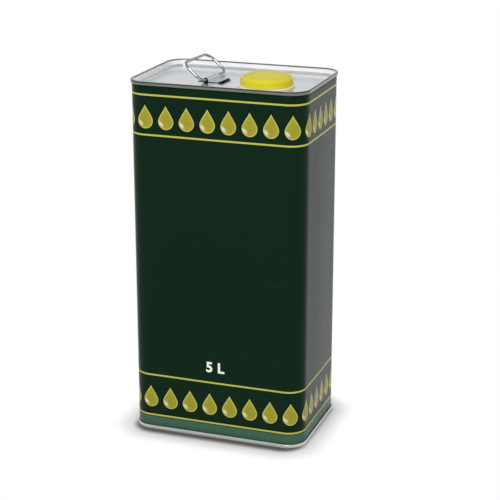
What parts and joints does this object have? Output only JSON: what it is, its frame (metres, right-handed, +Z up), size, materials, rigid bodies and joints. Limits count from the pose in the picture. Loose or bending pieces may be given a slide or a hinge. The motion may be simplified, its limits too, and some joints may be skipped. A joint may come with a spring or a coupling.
{
  "type": "olive oil tin",
  "caption": "Tall rectangular tinplate oil tin with rounded corners, a folding wire handle and a pull-out pouring spout under a push-on cap.",
  "frame": {"origin": "middle of the footprint, on the plane that the tin stands on", "axes": "+Z up; the printed front looks along -Y; the spout is on the +X side of the lid and the handle on the -X side"},
  "size_m": [0.1592, 0.1102, 0.3275],
  "materials": {
    "printed_tinplate": "gloss lacquer over dark green print",
    "weld_line": "bare weld",
    "tinplate": "bright tinplate, slightly satin",
    "sealing_compound": "cured compound",
    "wire": "galvanised wire",
    "cream_plastic": "natural polyethylene",
    "tube_plastic": "natural polyethylene",
    "yellow_plastic": "moulded polyethylene",
    "liner_foam": "foamed liner"
  },
  "bodies": {
    "tin": {"body_wall": "printed_tinplate", "side_seam": "weld_line", "top_end": "tinplate", "bottom_end": "tinplate", "top_compound": "sealing_compound", "bottom_compound": "sealing_compound", "handle_bracket": "tinplate", "bracket_welds": "weld_line", "spout_collar": "cream_plastic"},
    "handle": {"handle_wire": "wire"},
    "spout": {"spout_tube": "tube_plastic", "pour_seal": "tube_plastic"},
    "cap": {"cap_shell": "yellow_plastic", "cap_liner": "liner_foam"},
    "pull_ring": {"cap_ring": "yellow_plastic"}
  },
  "joints": [
    {"name": "handle_swing", "type": "hinge", "parent": "tin", "child": "handle", "pos_m": [-0.0219, 0, 0.31175], "axis": [0.0872, 0.9962, 0], "range_deg": [-38, 140]},
    {"name": "spout_pull", "type": "slide", "parent": "tin", "child": "spout", "axis": [0, 0, 1], "range_m": [0, 0.0298]},
    {"name": "cap_lift", "type": "slide", "parent": "spout", "child": "cap", "axis": [0, 0, 1], "range_m": [0, 0.025]},
    {"name": "ring_lift", "type": "hinge", "parent": "cap", "child": "pull_ring", "pos_m": [0.0501, -0.008, 0.3186], "axis": [0, 1, 0], "range_deg": [0, 100]}
  ]
}
